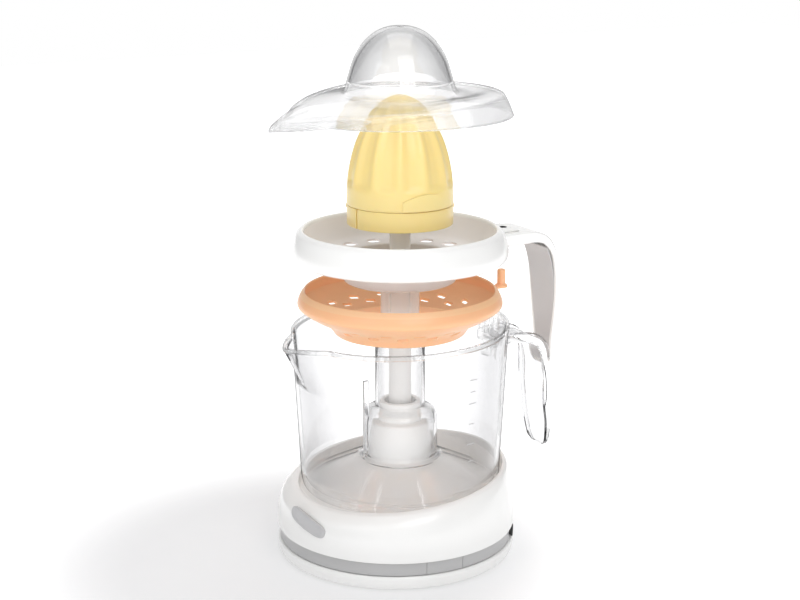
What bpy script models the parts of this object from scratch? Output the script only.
"""Electric citrus press with a one-litre jug, drawn apart along its shaft.

Origin: centre of the base plate's flat underside, on the shaft axis. +Z is up,
+X points to the handles and -X to the spout. Sizes below are millimetres, and
the helpers turn them into metres.
"""

import math

import bmesh
import bpy
from mathutils import Matrix, Vector

MM = 0.001
GAP = 0.3                 # clearance between pieces that touch
ROUND = 32                # sides of the large turned pieces
SMALL_ROUND = 16          # sides of pins, screws and feet

# Base
BASE_SHIFT = 3.5          # the skirt's centre lies this far towards the spout
SKIRT_R = 81.3
PLATE_TOP = 9.3
BAND_FOOT, BAND_TOP = 9.6, 18.5
BAND_R = 79.2
RIM_MID = 54.0            # collar rim height over the shaft axis
RIM_SLOPE = 0.112         # rise of the collar rim towards the handle
COLLAR_R = 69.5
DECK_EDGE, DECK_CROWN = 42.5, 64.0
TOWER_R, TOWER_SHOULDER = 21.3, 77.0
NECK_R, NECK_FOOT, TOWER_TOP = 14.0, 90.0, 104.0
TOWER_BORE = 10.75
BOSS_RING = 62.0          # radius of the circle that the base screws stand on
BOSS_START = math.radians(20)
FOOT_RING = 64.0
FOOT_DROP = 1.4
GLAND_ANGLE = math.radians(-38)     # azimuth where the cord would leave

# Drive
GEAR_MODULE = 0.9
PINION_TEETH, WHEEL_TEETH = 10, 30
CENTRES = GEAR_MODULE * (PINION_TEETH + WHEEL_TEETH) / 2
CHASSIS_FOOT, CHASSIS_TOP = 33.8, 35.4
CHASSIS_LEGS = [(-46, -27), (-46, 27), (10, -17), (10, 17)]
MOTOR_R = 21.0
MOTOR_X = -2 * CENTRES
SPINDLE_R = 3.5
DOG_R, DOG_TOP = 5.0, 100.5
SHAFT_R, SHAFT_FOOT, SHAFT_STEP, SHAFT_TOP = 7.75, 89.3, 145.5, 203.0
SHAFT_HEX_R = 4.75

# Jug
JUG_FOOT, JUG_RIM = 44.8, 159.0
JUG_FOOT_R, JUG_RIM_R, JUG_WALL = 67.6, 73.5, 2.3
SLEEVE_R, SLEEVE_TOP = 25.3, 99.5
CHIMNEY_R, CHIMNEY_TOP = 17.0, 145.5
SPOUT_HALF, SPOUT_FOOT = math.radians(20), 121.0
SPOUT_REACH, SPOUT_DIP = 17.0, 2.0
JUG_LEAN, JUG_DROP = 2.6, 2.6     # the rim's slope to the spout, and its drop over the axis

# Strainer, drawn lifted off the jug
RING_TOP, RING_R = 222.0, 72.0
BOWL_FLOOR, WELL_FLOOR, WELL_R = 204.0, 189.0, 36.0
TUBE_R, TUBE_FOOT = 13.0, 150.0
HUB_R, HUB_TOP = 7.0, 220.0
STRAP_Z, STRAP_THICK, STRAP_WIDTH = 211.4, 3.0, 32.0
PEG_RING, PEG_R = 80.8, 2.85

# Pulp filter, drawn below the strainer
FILTER_RIM, FILTER_R = 181.0, 68.7
ARM_Z = 172.5

# Cones, drawn above the strainer
CONE_FOOT, CONE_SHELF, CONE_HEIGHT, CONE_R = 226.0, 239.0, 84.5, 35.15

# Cover, drawn above the cones
COVER_FOOT, COVER_R, DOME_TOP = 297.0, 74.0, 355.0
CREASE_HIGH, CREASE_FALL = 8.0, 14.0     # the crease's lift at the handle, and its fall to the lip
LIP_HALF, LIP_REACH, LIP_DROP = math.radians(24), 21.0, 4.0

COLOURS = {
    "white": ((0.93, 0.93, 0.92), 0.35, 0.0),
    "band_grey": ((0.55, 0.55, 0.54), 0.45, 0.0),
    "clear": ((0.90, 0.92, 0.93), 0.05, 0.0),
    "orange": ((1.00, 0.50, 0.20), 0.40, 0.0),
    "yellow": ((0.98, 0.76, 0.30), 0.40, 0.0),
    "shaft_white": ((0.85, 0.85, 0.84), 0.40, 0.0),
    "rubber": ((0.12, 0.12, 0.12), 0.80, 0.0),
    "steel": ((0.60, 0.60, 0.62), 0.30, 1.0),
    "brass": ((0.75, 0.58, 0.28), 0.35, 1.0),
    "black": ((0.05, 0.05, 0.05), 0.50, 0.0),
    "gear_white": ((0.88, 0.87, 0.80), 0.50, 0.0),
    "lead_blue": ((0.10, 0.22, 0.55), 0.45, 0.0),
    "lead_brown": ((0.30, 0.16, 0.08), 0.45, 0.0),
}


# Helpers

def clear_scene():
    for item in list(bpy.data.objects):
        bpy.data.objects.remove(item, do_unlink=True)


def collection(name):
    made = bpy.data.collections.new(name)
    bpy.context.scene.collection.children.link(made)
    return made


def material(name):
    found = bpy.data.materials.get(name)
    if found:
        return found
    colour, roughness, metallic = COLOURS[name]
    made = bpy.data.materials.new(name)
    made.use_nodes = True
    shader = made.node_tree.nodes["Principled BSDF"]
    shader.inputs["Base Color"].default_value = (*colour, 1)
    shader.inputs["Roughness"].default_value = roughness
    shader.inputs["Metallic"].default_value = metallic
    return made


def add_object(name, mesh, paint=None, group=None):
    item = bpy.data.objects.new(name, mesh)
    (group or PARTS).objects.link(item)
    if paint:
        mesh.materials.append(material(paint))
        mesh.shade_smooth()
        mesh.set_sharp_from_angle(angle=math.radians(35))
    else:
        item.hide_render = True
        item.display_type = "WIRE"
    return item


def baked(item):
    """Swap an object's mesh for its evaluated one and drop its modifiers."""
    bpy.context.view_layer.update()
    graph = bpy.context.evaluated_depsgraph_get()
    mesh = bpy.data.meshes.new_from_object(item.evaluated_get(graph))
    item.modifiers.clear()
    item.data = mesh
    return item


def turned(name, profile, paint=None, sides=ROUND, centre=(0, 0), group=None):
    """A body turned about Z: profile points (radius, height) run down the outside,
    then up the inside. A profile that starts on the axis is left open there."""
    on_axis = profile[0][0] == 0
    mesh = bpy.data.meshes.new(name)
    points = [(r * MM, 0, z * MM) for r, z in profile]
    edges = [(i, i + 1) for i in range(len(points) - 1)]
    if not on_axis:
        edges.append((len(points) - 1, 0))
    mesh.from_pydata(points, edges, [])
    item = add_object(name, mesh, paint, group)
    item.location = (centre[0] * MM, centre[1] * MM, 0)
    screw = item.modifiers.new("turn", "SCREW")
    screw.steps = sides
    screw.render_steps = sides
    screw.use_merge_vertices = True
    screw.merge_threshold = 1e-6
    return baked(item)


def disc(name, radius, z0, z1, paint=None, sides=SMALL_ROUND, centre=(0, 0), group=None):
    mesh = bpy.data.meshes.new(name)
    shape = bmesh.new()
    place = Matrix.Translation(Vector((centre[0], centre[1], (z0 + z1) / 2)) * MM)
    bmesh.ops.create_cone(shape, cap_ends=True, segments=sides, radius1=radius * MM,
                          radius2=radius * MM, depth=(z1 - z0) * MM, matrix=place)
    shape.to_mesh(mesh)
    shape.free()
    return add_object(name, mesh, paint, group)


def block(name, low, high, paint=None, group=None):
    mesh = bpy.data.meshes.new(name)
    shape = bmesh.new()
    size = Vector(high) - Vector(low)
    place = Matrix.Translation((Vector(low) + size / 2) * MM)
    place = place @ Matrix.Diagonal((*(size * MM), 1))
    bmesh.ops.create_cube(shape, size=1, matrix=place)
    shape.to_mesh(mesh)
    shape.free()
    return add_object(name, mesh, paint, group)


def extruded(name, outlines, z0, z1, paint=None, group=None):
    """A flat plate between two heights: the first outline is its edge, the others holes."""
    curve = bpy.data.curves.new(name, "CURVE")
    curve.dimensions = "2D"
    curve.fill_mode = "BOTH"
    curve.extrude = (z1 - z0) / 2 * MM
    for outline in outlines:
        spline = curve.splines.new("POLY")
        spline.points.add(len(outline) - 1)
        for point, (x, y) in zip(spline.points, outline):
            point.co = (x * MM, y * MM, 0, 1)
        spline.use_cyclic_u = True
    return from_curve(name, curve, paint, group, lift=(z0 + z1) / 2 * MM)


def from_curve(name, curve, paint, group=None, lift=0.0):
    """The closed mesh of a curve, with its caps welded."""
    guide = bpy.data.objects.new(name + "_guide", curve)
    (group or PARTS).objects.link(guide)
    bpy.context.view_layer.update()
    graph = bpy.context.evaluated_depsgraph_get()
    mesh = bpy.data.meshes.new_from_object(guide.evaluated_get(graph))
    bpy.data.objects.remove(guide, do_unlink=True)
    shape = bmesh.new()
    shape.from_mesh(mesh)
    bmesh.ops.remove_doubles(shape, verts=shape.verts, dist=1e-6)
    bmesh.ops.recalc_face_normals(shape, faces=shape.faces)
    bmesh.ops.translate(shape, vec=(0, 0, lift), verts=shape.verts)
    shape.to_mesh(mesh)
    shape.free()
    mesh.materials.clear()
    return add_object(name, mesh, paint, group)


def wire(name, points, radius, paint):
    """A round wire through points given in millimetres."""
    curve = bpy.data.curves.new(name, "CURVE")
    curve.dimensions = "3D"
    curve.bevel_depth = radius * MM
    curve.bevel_resolution = 2
    curve.use_fill_caps = True
    spline = curve.splines.new("POLY")
    spline.points.add(len(points) - 1)
    for point, place in zip(spline.points, points):
        point.co = (*(Vector(place) * MM), 1)
    return from_curve(name, curve, paint)


def smooth_route(knots, per_span=4):
    """Points along a Catmull-Rom curve through the knots."""
    knots = [Vector(k) for k in knots]
    ends = [2 * knots[0] - knots[1], *knots, 2 * knots[-1] - knots[-2]]
    route = []
    for a, b, c, d in zip(ends, ends[1:], ends[2:], ends[3:]):
        for i in range(per_span):
            t = i / per_span
            route.append(0.5 * (2 * b + (c - a) * t + (2 * a - 5 * b + 4 * c - d) * t * t
                                + (3 * b - a - 3 * c + d) * t ** 3))
    return [*route, knots[-1]]


def strap_section(width, thick):
    """A flat bar's outline with its corners taken off, as (side, outward) pairs."""
    a, b = width / 2, thick / 2
    flat = 0.72 * a
    return [(a, b / 2), (flat, b), (-flat, b), (-a, b / 2), (-a, -b / 2), (-flat, -b), (flat, -b), (a, -b / 2)]


def channel_section(width, depth):
    """A U outline, open on its outward side."""
    a, b, wall = width / 2, depth / 2, 2.2
    inner = max(a - wall, 0.5)
    return [(a, b), (a, -b), (-a, -b), (-a, b), (-inner, b), (-inner, min(wall - b, b - 0.3)),
            (inner, min(wall - b, b - 0.3)), (inner, b)]


def swept_bar(name, stations, section, group=None):
    """A bar lofted in the XZ plane through stations of x, z, width in Y and depth."""
    shape = bmesh.new()
    middles = [Vector((x, 0, z)) for x, z, width, depth in stations]
    rings = []
    for i, (x, z, width, depth) in enumerate(stations):
        along = (middles[min(i + 1, len(middles) - 1)] - middles[max(i - 1, 0)]).normalized()
        out = Vector((-along.z, 0, along.x))
        rings.append([shape.verts.new((middles[i] + Vector((0, a, 0)) + out * b) * MM)
                      for a, b in section(width, depth)])
    for lower, upper in zip(rings, rings[1:]):
        bmesh.ops.bridge_loops(shape, edges=loop_edges(shape, lower) + loop_edges(shape, upper))
    shape.faces.new(rings[0])
    shape.faces.new(rings[-1])
    bmesh.ops.recalc_face_normals(shape, faces=shape.faces)
    mesh = bpy.data.meshes.new(name)
    shape.to_mesh(mesh)
    shape.free()
    return add_object(name, mesh, None, group)


def loop_edges(shape, ring):
    pairs = zip(ring, ring[1:] + ring[:1])
    return [shape.edges.get(p) or shape.edges.new(p) for p in pairs]


def boolean(item, tool, operation):
    step = item.modifiers.new(tool.name, "BOOLEAN")
    step.operation = operation
    step.solver = "EXACT"
    step.object = tool
    return item


def cut(item, tool):
    return boolean(item, tool, "DIFFERENCE")


def join(item, tool):
    return boolean(item, tool, "UNION")


def around(count, radius, start=0.0, centre=(0, 0)):
    """Places spread evenly on a circle, with the angle of each."""
    for i in range(count):
        angle = start + 2 * math.pi * i / count
        yield centre[0] + radius * math.cos(angle), centre[1] + radius * math.sin(angle), angle


def circle(radius, centre=(0, 0), sides=SMALL_ROUND):
    return [(x, y) for x, y, angle in around(sides, radius, centre=centre)]


def reshape(item, rule):
    """Move each vertex by a rule that takes and gives millimetres."""
    for vertex in item.data.vertices:
        vertex.co = rule(vertex.co / MM) * MM
    item.data.update()
    return item


def ramp(value, low, high):
    return min(1.0, max(0.0, (value - low) / (high - low)))


def spout_weight(point, half_angle):
    """One at the spout's centre line, none at its edges."""
    angle = abs(math.atan2(point.y, -point.x))
    return ramp(half_angle - angle, 0, half_angle)


# Base

def base_housing():
    profile = [
        (71.6, RIM_MID), (74.4, 51.6), (77.8, 46.0), (80.3, 37.5), (SKIRT_R, 28.0),
        (80.9, BAND_TOP + GAP), (78.6, BAND_TOP + GAP), (78.9, 28.0), (78.0, 37.0),
        (75.6, 44.8), (72.6, 49.0), (71.6, 48.4), (71.5, 41.0), (70.0, 39.8),
        (24.5, DECK_CROWN - 3.4), (18.9, DECK_CROWN - 0.5), (18.9, 77.5), (TOWER_BORE, 77.5),
        (TOWER_BORE, TOWER_TOP), (NECK_R, TOWER_TOP), (NECK_R, NECK_FOOT + 1),
        (NECK_R + 1, NECK_FOOT), (19.0, NECK_FOOT), (TOWER_R, TOWER_SHOULDER),
        (TOWER_R, DECK_CROWN + 2), (TOWER_R + 1.4, DECK_CROWN), (68.5, DECK_EDGE),
        (COLLAR_R, DECK_EDGE + 0.6), (COLLAR_R, RIM_MID - 0.6), (COLLAR_R + 0.5, RIM_MID),
    ]
    housing = turned("base_housing", profile, "white")
    reshape(housing, slanted_collar)
    for x, y, angle in around(4, BOSS_RING, BOSS_START):
        join(housing, disc("screw_boss", 4.0, 3.2, 43.0, centre=(x, y), sides=12, group=CUTTERS))
    for x, y, angle in around(4, BOSS_RING, BOSS_START):
        cut(housing, disc("boss_bore", 1.9, 2.0, 17.0, centre=(x, y), sides=12, group=CUTTERS))
    return housing


def slanted_collar(point):
    """Tilt the collar rim and lean the skirt towards the spout."""
    radius = math.hypot(point.x, point.y)
    if radius < COLLAR_R - 0.3:
        return point
    rim = RIM_MID + RIM_SLOPE * 72 * point.x / radius
    skin = radius > 72.5
    foot = BAND_TOP if skin else 40.0
    if point.z > foot + 0.5:
        point.z = foot + (point.z - foot) * (rim - foot) / (RIM_MID - foot)
    point.x -= BASE_SHIFT * ramp(radius, 72.0, 78.5)
    return point


def base_band():
    centre = (-BASE_SHIFT, 0)
    inner = BAND_R - 1.8
    band = turned("cord_band", [(BAND_R, BAND_TOP), (BAND_R, BAND_FOOT), (inner, BAND_FOOT), (inner, BAND_TOP)],
                  "band_grey", centre=centre)
    hole = disc("gland_hole", 3.6, 70.0, 90.0, sides=16, group=CUTTERS)
    aim_outwards(hole)
    cut(band, hole)


def aim_outwards(item):
    """Lay a piece that was drawn along Z on the cord's line through the band."""
    turn = Matrix.Rotation(GLAND_ANGLE, 4, "Z") @ Matrix.Rotation(math.pi / 2, 4, "Y")
    item.matrix_world = Matrix.Translation(Vector((-BASE_SHIFT, 0, 14.0)) * MM) @ turn


def cord_gland():
    profile = [(4.1, 81.0), (4.1, 79.6), (3.3, 79.5), (3.3, 71.5), (1.9, 71.5), (1.9, 81.0)]
    aim_outwards(turned("cord_gland", profile, "rubber", sides=16))


def base_plate():
    profile = [
        (0, 2.6), (77.6, 2.6), (78.4, 3.6), (78.4, PLATE_TOP), (80.8, PLATE_TOP),
        (81.0, 5.0), (80.2, 1.6), (78.6, 0.0), (0, 0.0),
    ]
    plate = turned("base_plate", profile, "white", centre=(-BASE_SHIFT, 0))
    for x, y, angle in around(4, BOSS_RING, BOSS_START):
        cut(plate, disc("screw_hole", 1.9, -1, 4, centre=(x, y), sides=12, group=CUTTERS))
    for x, y, angle in around(4, FOOT_RING, centre=(-BASE_SHIFT, 0)):
        cut(plate, disc("foot_recess", 6.4, -1, 1.2, centre=(x, y), sides=16, group=CUTTERS))
    for x, y in CHASSIS_LEGS:
        cut(plate, disc("chassis_hole", 1.6, -1, 4, centre=(x, y), sides=12, group=CUTTERS))
    join(plate, disc("plunger_guide", 6.0, 1.0, 14.0, group=CUTTERS))
    cut(plate, disc("plunger_bore", 2.4, 5.0, 15.0, sides=16, group=CUTTERS))


def feet_and_screws():
    for number, (x, y, angle) in enumerate(around(4, FOOT_RING, centre=(-BASE_SHIFT, 0)), 1):
        disc(f"foot_{number}", 6.0, -FOOT_DROP, 1.2 - GAP, "rubber", sides=16, centre=(x, y))
    for number, (x, y, angle) in enumerate(around(4, BOSS_RING, BOSS_START), 1):
        screw(f"base_screw_{number}", x, y, -GAP, 14.0, 1.5)
    for number, (x, y) in enumerate(CHASSIS_LEGS, 1):
        screw(f"chassis_screw_{number}", x, y, -GAP, 11.0, 1.25)


def screw(name, x, y, seat, tip, radius, up=1):
    """A pan-head screw whose head bears on the height called seat."""
    head = radius * 1.9
    if up > 0:
        profile = [(0, tip), (radius, tip - radius), (radius, seat), (head, seat),
                   (head, seat - 0.5), (head * 0.6, seat - 0.9), (0, seat - 0.9)]
    else:
        profile = [(0, seat + 1.4), (head * 0.7, seat + 1.4), (head, seat + 0.7),
                   (head, seat), (radius, seat), (radius, tip + radius), (0, tip)]
    turned(name, profile, "steel", sides=10, centre=(x, y))


# Drive

def gear_outline(teeth, phase=0.0):
    """A stub-tooth involute gear's outline, thinned for running clearance."""
    pitch = GEAR_MODULE * teeth / 2
    base = pitch * math.cos(math.radians(20))
    root, tip = pitch - GEAR_MODULE, pitch + 0.72 * GEAR_MODULE
    half_tooth = math.pi / teeth * 0.40

    def swing(radius):
        """Angle that the involute has turned through at a radius."""
        if radius <= base:
            return 0.0
        slope = math.acos(base / radius)
        return math.tan(slope) - slope

    outline = []
    for i in range(teeth):
        middle = phase + 2 * math.pi * i / teeth
        flank = [(r, half_tooth + swing(pitch) - swing(r)) for r in (root, tip)]
        for radius, angle in flank:
            outline.append((radius * math.cos(middle - angle), radius * math.sin(middle - angle)))
        for radius, angle in reversed(flank):
            outline.append((radius * math.cos(middle + angle), radius * math.sin(middle + angle)))
    return outline


def moved(outline, x):
    return [(px + x, py) for px, py in outline]


def gear_chassis():
    left, right, half = -52, 16, 32
    edge = [(left + 6, -half), (right - 4, -half + 6), (right, -half + 14), (right, half - 14),
            (right - 4, half - 6), (left + 6, half), (left, half - 6), (left, -half + 6)]
    holes = [circle(6.0, (MOTOR_X, 0)), circle(1.8, (-CENTRES, 0), 16), circle(4.3, (0, 0))]
    holes += [circle(1.7, (MOTOR_X, y), 12) for y in (-16.5, 16.5)]
    chassis = extruded("gear_chassis", [edge, *holes], CHASSIS_FOOT, CHASSIS_TOP, "steel")
    for x, y in CHASSIS_LEGS:
        join(chassis, disc("leg", 3.2, 2.9, CHASSIS_FOOT + 0.6, centre=(x, y), sides=12, group=CUTTERS))
        cut(chassis, disc("leg_bore", 1.55, 2.0, 14.0, centre=(x, y), sides=12, group=CUTTERS))


def motor():
    can = [(MOTOR_R - 1, 31.5), (MOTOR_R, 30.5), (MOTOR_R, 6.0), (MOTOR_R - 1, 5.0), (0, 5.0)]
    body = turned("motor_can", [(0, 31.5), *can], "steel", sides=32, centre=(MOTOR_X, 0))
    cut(body, disc("motor_bore", 1.9, 10.0, 33.0, centre=(MOTOR_X, 0), group=CUTTERS))
    for y in (-16.5, 16.5):
        cut(body, disc("lug_hole", 1.7, 24.0, 33.0, sides=12, centre=(MOTOR_X, y), group=CUTTERS))
    cap = [(11.0, 33.5), (11.0, 31.8), (1.9, 31.8), (1.9, 33.5)]
    turned("motor_bearing_cap", cap, "black", centre=(MOTOR_X, 0), sides=24)
    for number, y in enumerate((-16.5, 16.5), 1):
        screw(f"motor_screw_{number}", MOTOR_X, y, CHASSIS_TOP + GAP, 26.0, 1.4, up=-1)


def motor_pinion():
    teeth = moved(gear_outline(PINION_TEETH), MOTOR_X)
    pinion = extruded("motor_pinion", [teeth], 35.9, 41.5, "brass")
    join(pinion, disc("motor_shaft", 1.5, 11.0, 37.0, centre=(MOTOR_X, 0), group=CUTTERS))
    hinge_origin(pinion, MOTOR_X)


def idler_gear():
    """Big wheel meets the motor pinion; the small one above it meets the spindle wheel."""
    wheel = moved(gear_outline(WHEEL_TEETH, math.pi - math.pi / WHEEL_TEETH), -CENTRES)
    small = moved(gear_outline(PINION_TEETH), -CENTRES)
    gear = extruded("idler_gear", [wheel], 36.3, 40.9, "gear_white")
    join(gear, extruded("idler_pinion", [small], 40.0, 48.6, group=CUTTERS))
    cut(gear, disc("idler_bore", 1.8, 35.0, 50.0, centre=(-CENTRES, 0), group=CUTTERS))
    hinge_origin(gear, -CENTRES)
    disc("idler_axle", 1.5, CHASSIS_FOOT, 50.0, "steel", centre=(-CENTRES, 0))


def output_spindle():
    wheel = gear_outline(WHEEL_TEETH, math.pi - math.pi / WHEEL_TEETH)
    spindle = extruded("output_spindle", [wheel], 43.0, 48.0, "gear_white")
    join(spindle, disc("journal", SPINDLE_R, 47.0, 89.0, group=CUTTERS))
    join(spindle, disc("dog", DOG_R, 88.6, DOG_TOP, sides=6, group=CUTTERS))
    join(spindle, disc("lower_journal", 2.0, 31.0, 44.0, group=CUTTERS))
    ring("thrust_washer", 8.0, 3.9, 48.3, 49.5, "brass")
    ring("lower_bush", 4.0, 2.35, 33.0, 35.9, "brass")
    bush = [(10.4, 88.9), (10.4, 77.2), (12.6, 77.2), (12.6, 75.8), (3.85, 75.8), (3.85, 85.0),
            (7.4, 85.2), (7.4, 88.9)]
    turned("tower_bush", bush, "black", sides=24)


def ring(name, outer, inner, low, high, paint, sides=24):
    profile = [(outer, high), (outer, low), (inner, low), (inner, high)]
    return turned(name, profile, paint, sides=sides)


def start_switch():
    """Pressing the cone pushes the spindle onto the plunger, which works the switch."""
    plunger = [(0, 30.7), (2.6, 30.7), (2.9, 28.6), (5.0, 28.4), (5.0, 27.2), (2.0, 27.0),
               (2.0, 8.6), (0, 8.6)]
    turned("start_plunger", plunger, "shaft_white", sides=16)
    turns, coil_r, low, high = 4, 3.9, 15.0, 26.2
    steps = turns * 8
    helix = [(coil_r * math.cos(2 * math.pi * turns * i / steps),
              coil_r * math.sin(2 * math.pi * turns * i / steps),
              low + (high - low) * i / steps) for i in range(steps + 1)]
    wire("plunger_spring", helix, 0.45, "steel")
    block("microswitch", (9.0, -5.5, 2.9), (23.0, 5.5, 23.2), "black")
    block("switch_lever", (5.6, -2.2, 23.5), (21.0, 2.2, 24.1), "steel")


def leads():
    inner = 70.6
    x = inner * math.cos(GLAND_ANGLE) - BASE_SHIFT
    y = inner * math.sin(GLAND_ANGLE)
    route = [(x, y, 14.9), (36, -28, 11), (24, -14, 9), (18, -7.2, 10)]
    wire("lead_live", smooth_route(route), 1.0, "lead_brown")
    wire("lead_neutral", smooth_route([(x - 0.9, y - 1.2, 12.3), (34, -36, 9), (0, -38, 8),
                                       (-20, -30, 10), (-29, -21.9, 12)]), 1.0, "lead_blue")
    wire("lead_motor", smooth_route([(16, 7.2, 10), (12, 26, 8), (-8, 34, 9), (-22, 27, 12),
                                     (-26.5, 20.6, 14)]), 1.0, "lead_brown")


def hinge_origin(item, x):
    """Put the object's origin on its own axis without moving its shape."""
    item.data.transform(Matrix.Translation(Vector((-x, 0, 0)) * MM))
    item.location.x += x * MM


def drive_shaft():
    shaft = disc("drive_shaft", SHAFT_R, SHAFT_FOOT, SHAFT_STEP, "shaft_white", sides=24)
    join(shaft, disc("shaft_hex", SHAFT_HEX_R, SHAFT_STEP - 1, SHAFT_TOP, sides=6, group=CUTTERS))
    cut(shaft, disc("dog_socket", DOG_R + 0.4, SHAFT_FOOT - 1, DOG_TOP + 1, sides=6, group=CUTTERS))


# Jug

def jug():
    deck = DECK_EDGE + 1.2
    profile = [
        (JUG_RIM_R, JUG_RIM), (JUG_RIM_R, 155.6), (72.8, 155.0), (71.2, SPOUT_FOOT), (JUG_FOOT_R, 51.0),
        (66.4, 46.6),
        (64.4, JUG_FOOT), (25.6, deck + 19.9), (SLEEVE_R - 2.1, deck + 21.3), (SLEEVE_R - 2.1, 91.0),
        (21.6, 95.4), (17.6, 97.4), (CHIMNEY_R - 2, 98.8), (CHIMNEY_R - 2, CHIMNEY_TOP),
        (CHIMNEY_R, CHIMNEY_TOP), (CHIMNEY_R, 101.0), (19.8, SLEEVE_TOP), (23.4, 97.6),
        (SLEEVE_R, 93.6), (SLEEVE_R, 68.8), (27.2, 66.4), (62.6, 48.8), (65.0, 51.6),
        (68.9, SPOUT_FOOT), (70.5, 155.0), (71.2, JUG_RIM),
    ]
    vessel = turned("jug", profile, "clear")
    reshape(vessel, slope_rim)
    reshape(vessel, pull_spout)
    join(vessel, block("fin", (-28.4, -1.0, 64.9), (-24.2, 1.0, 121.0), group=CUTTERS))
    handle = [(70.4, 137.0, 28, 7.4), (90.0, 137.6, 28, 7.6), (100.5, 135.0, 28, 7.6), (106.8, 128.4, 28, 7.6),
              (109.4, 118.0, 28, 7.6), (110.6, 100.0, 29, 10.0), (112.2, 86.0, 27, 9.4), (113.8, 74.0, 24, 6.4),
              (114.8, 63.0, 18, 5.0), (115.6, 56.0, 11, 3.6), (115.9, 53.2, 6, 2.6)]
    join(vessel, swept_bar("jug_handle", handle, channel_section, CUTTERS))


def slope_rim(point):
    """Set the rim a little lower at the spout than at the handle."""
    if math.hypot(point.x, point.y) > 60:
        point.z += (JUG_LEAN * point.x / JUG_RIM_R - JUG_DROP) * ramp(point.z, SPOUT_FOOT, JUG_RIM)
    return point


def pull_spout(point):
    """Draw the rim out to a V-shaped spout on the -X side."""
    radius = math.hypot(point.x, point.y)
    height = ramp(point.z, SPOUT_FOOT, JUG_RIM)
    if radius < 60 or height == 0:
        return point
    pull = spout_weight(point, SPOUT_HALF) * height ** 1.4
    scale = 1 + SPOUT_REACH * pull / radius
    return Vector((point.x * scale, point.y * scale, point.z - SPOUT_DIP * pull))


# Strainer and pulp filter

def strainer():
    profile = [
        (66.2, RING_TOP), (69.2, 218.4), (71.4, 211.5), (RING_R, 205.0), (70.8, 201.2), (68.8, 200.0),
        (68.0, 201.2), (70.1, 205.2), (69.6, 211.0), (67.8, 216.2), (65.8, 219.0), (64.4, 219.0),
        (62.4, 213.6), (59.0, 207.0), (55.4, 203.3), (52.2, BOWL_FLOOR - 2), (WELL_R + 1.6, BOWL_FLOOR - 2),
        (WELL_R + 1.6, 188.4), (WELL_R + 0.2, WELL_FLOOR - 2), (TUBE_R, WELL_FLOOR - 2), (TUBE_R, TUBE_FOOT),
        (11.2, TUBE_FOOT), (11.2, WELL_FLOOR - 2), (HUB_R - 1.6, WELL_FLOOR - 2), (HUB_R - 1.6, HUB_TOP),
        (HUB_R, HUB_TOP), (HUB_R, WELL_FLOOR), (WELL_R - 1, WELL_FLOOR), (WELL_R, WELL_FLOOR + 1),
        (WELL_R, BOWL_FLOOR - 1), (WELL_R + 1, BOWL_FLOOR), (51.5, BOWL_FLOOR), (54.2, 205.0),
        (57.4, 208.0), (60.6, 214.0), (62.8, 219.6), (64.0, RING_TOP),
    ]
    bowl = turned("strainer", profile, "white")
    for x, y, angle in around(16, 46.5, math.radians(-120)):
        cut(bowl, slot("juice_slot", (x, y), angle + math.pi / 2, 8.0, 3.0, 195, 210))
    for x, y, angle in around(6, 24.0, math.radians(-97.5)):
        cut(bowl, slot("well_slot", (x, y), angle, 10.0, 2.6, 180, 195))
    handle = [(70.3, STRAP_Z, STRAP_WIDTH, STRAP_THICK), (77.0, STRAP_Z, STRAP_WIDTH, STRAP_THICK),
              (89.5, STRAP_Z, STRAP_WIDTH, STRAP_THICK), (97.5, 209.6, 31, 3.6), (103.6, 206.0, 30, 4.2),
              (108.4, 200.0, 30, 4.6), (112.0, 191.5, 29, 4.6), (114.4, 179.0, 28, 4.6), (115.7, 163.0, 26, 4.6),
              (116.3, 135.0, 20, 4.6), (116.2, 120.0, 13, 4.2), (116.1, 113.8, 7, 3.6)]
    join(bowl, swept_bar("strainer_handle", handle, strap_section, CUTTERS))
    cut(bowl, arc_slot("peg_slot", PEG_RING, 9.4, math.radians(8.6), 205.5, 220.0))
    cut(bowl, block("arm_notch", (64.0, -12.0, 198.0), (74.0, 12.0, 208.4), group=CUTTERS))


def slot(name, centre, angle, length, width, z0, z1):
    """A straight slot's cutter: a block turned to an angle."""
    item = block(name, (-length / 2, -width / 2, z0), (length / 2, width / 2, z1), group=CUTTERS)
    item.location = (centre[0] * MM, centre[1] * MM, 0)
    item.rotation_euler.z = angle
    return item


def arc_slot(name, radius, width, half_angle, z0, z1, middle=0.0):
    """A curved slot's cutter about the shaft axis."""
    angles = [middle + half_angle * (i / 3 - 1) for i in range(7)]
    outer = [(math.cos(a) * (radius + width / 2), math.sin(a) * (radius + width / 2)) for a in angles]
    inner = [(math.cos(a) * (radius - width / 2), math.sin(a) * (radius - width / 2)) for a in angles]
    return extruded(name, [outer + inner[::-1]], z0, z1, group=CUTTERS)


def pulp_slider():
    z = STRAP_Z
    profile = [(5.6, z + 3.0), (5.6, z + 1.8), (4.4, z + 1.7), (4.4, z - 1.7), (5.6, z - 1.8), (5.6, z - 2.6),
               (3.25, z - 2.6), (3.25, z + 3.0)]
    turned("pulp_slider", profile, "band_grey", sides=20, centre=(PEG_RING, 0))


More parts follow.
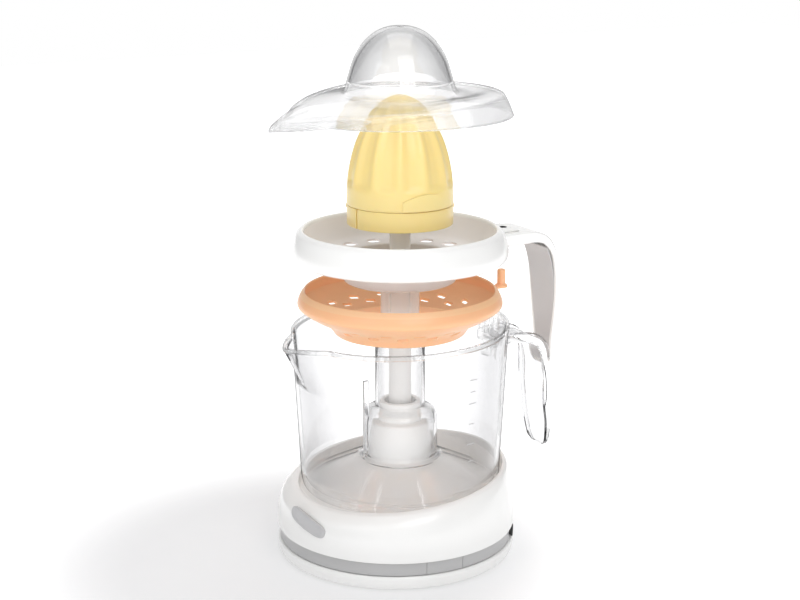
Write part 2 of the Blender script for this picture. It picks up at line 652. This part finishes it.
def pulp_filter():
    profile = [
        (64.4, FILTER_RIM), (66.6, 177.8), (FILTER_R, 172.0), (67.4, 169.6), (64.0, 168.0), (51.6, 158.0),
        (43.4, 152.0), (41.8, 152.0), (41.4, 158.6), (46.0, 159.8), (54.0, 163.0), (59.0, 165.8),
        (62.8, 169.0), (66.6, 172.0), (65.2, 177.0), (63.2, FILTER_RIM),
    ]
    dish = turned("pulp_filter", profile, "orange")
    for count, radius, start in ((12, 51.5, 0.1), (12, 45.8, 0.36)):
        for x, y, angle in around(count, radius, start):
            cut(dish, slot("pulp_slot", (x, y), angle + 0.9, 5.6, 1.8, 140, 175))
    join(dish, block("lever_arm", (66.4, -3.0, ARM_Z - 0.9), (84.0, 3.0, ARM_Z + 0.9), group=CUTTERS))
    join(dish, disc("peg", PEG_R, ARM_Z, ARM_Z + 12.5, centre=(PEG_RING, 0), group=CUTTERS))


# Cones

def small_cone():
    top = CONE_FOOT + 62
    profile = [
        (0, top), (6.4, top - 1.2), (12.4, top - 4.6), (18.6, top - 12), (24.0, top - 24), (27.2, top - 37),
        (28.0, CONE_SHELF), (CONE_R, CONE_SHELF), (CONE_R, CONE_FOOT), (33.4, CONE_FOOT),
        (33.4, CONE_SHELF - 2.2), (26.0, CONE_SHELF - 1.6), (25.2, top - 37), (22.0, top - 25),
        (16.8, top - 14.4), (8.4, top - 8), (8.4, 261.0), (0, 261.0),
    ]
    cone = turned("small_cone", profile, "yellow", sides=30)
    cut(cone, disc("cone_socket", SHAFT_HEX_R + 0.45, 250, top - 3, sides=6, group=CUTTERS))
    nub_high = CONE_SHELF - 0.2
    for sign in (-1, 1):
        edge = sign * (CONE_R + 0.25)
        low, high = sorted((sign * 33.8, edge))
        join(cone, block("nub", (low, -3.0, nub_high - 2.4), (high, 3.0, nub_high), group=CUTTERS))


def large_cone():
    """The ribs are drawn in by a rule, so the outline below is the ribs' own."""
    foot = CONE_SHELF + GAP
    wall = 2.2
    side = [(3.0, 309.8), (9.6, 307.4), (14.6, 304.0), (18.8, 300.4), (24.0, 290.7), (28.7, 280.8),
            (32.0, 270.0), (34.1, 259.5), (35.0, 249.0), (35.2, foot)]
    inside = [(r - wall - 2.4 * ramp(z, foot + 12, foot + 22), z - 1.2) for r, z in reversed(side[3:-1])]
    profile = [(0, CONE_FOOT + CONE_HEIGHT), *side, (33.0, foot), *inside, (7.0, 301.5), (0, 303.0)]
    cone = turned("large_cone", profile, "yellow", sides=30)
    reshape(cone, lambda point: flute(point, foot))


def flute(point, foot):
    """Draw the wall in between ten ribs that fade out towards the foot."""
    radius = math.hypot(point.x, point.y)
    if radius < 4:
        return point
    wave = (1 - math.cos(10 * math.atan2(point.y, point.x))) / 2
    depth = 1.9 * wave * ramp(point.z, foot + 12, foot + 26) * ramp(CONE_FOOT + CONE_HEIGHT - point.z, 0, 9)
    scale = 1 - depth / radius
    return Vector((point.x * scale, point.y * scale, point.z))


# Cover

def cover():
    profile = [
        (0, DOME_TOP), (8.2, 354.2), (16.6, 350.6), (24.4, 343.6), (30.0, 334.4), (33.6, 324.0),
        (36.0, 315.4), (38.0, 312.4), (54.0, 309.6), (66.6, 306.0), (71.6, 302.6), (COVER_R, COVER_FOOT),
        (72.2, COVER_FOOT), (69.9, 301.6), (65.6, 304.0), (53.6, 307.6), (36.8, 310.6), (34.2, 314.6),
        (31.7, 323.6), (28.2, 333.4), (23.0, 341.8), (15.8, 348.4), (7.6, 352.0), (0, 352.8),
    ]
    lid = turned("cover", profile, "clear")
    reshape(lid, tilt_crease)
    reshape(lid, pull_lip)


def tilt_crease(point):
    """Raise the edge of the top face at the handle and lower it at the spout."""
    radius = math.hypot(point.x, point.y)
    if point.z > COVER_FOOT + 1 and radius > 38.5:
        weight = ramp(radius, 38.5, 66) * (1 if radius < 69 else 0.5)
        point.z += (CREASE_HIGH - CREASE_FALL * (1 - ramp(point.x, -95, 10))) * weight
    return point


def pull_lip(point):
    """Draw the skirt out to a lip over the jug's spout."""
    radius = math.hypot(point.x, point.y)
    pull = spout_weight(point, LIP_HALF) * ramp(radius, 52, COVER_R)
    scale = 1 + LIP_REACH * pull / max(radius, 1)
    return Vector((point.x * scale, point.y * scale, point.z - LIP_DROP * pull))


clear_scene()
PARTS = collection("citrus_press_juicer")
CUTTERS = collection("cutters")
base_housing()
base_band()
cord_gland()
base_plate()
feet_and_screws()
gear_chassis()
motor()
motor_pinion()
idler_gear()
output_spindle()
start_switch()
leads()
drive_shaft()
jug()
strainer()
pulp_slider()
pulp_filter()
small_cone()
large_cone()
cover()
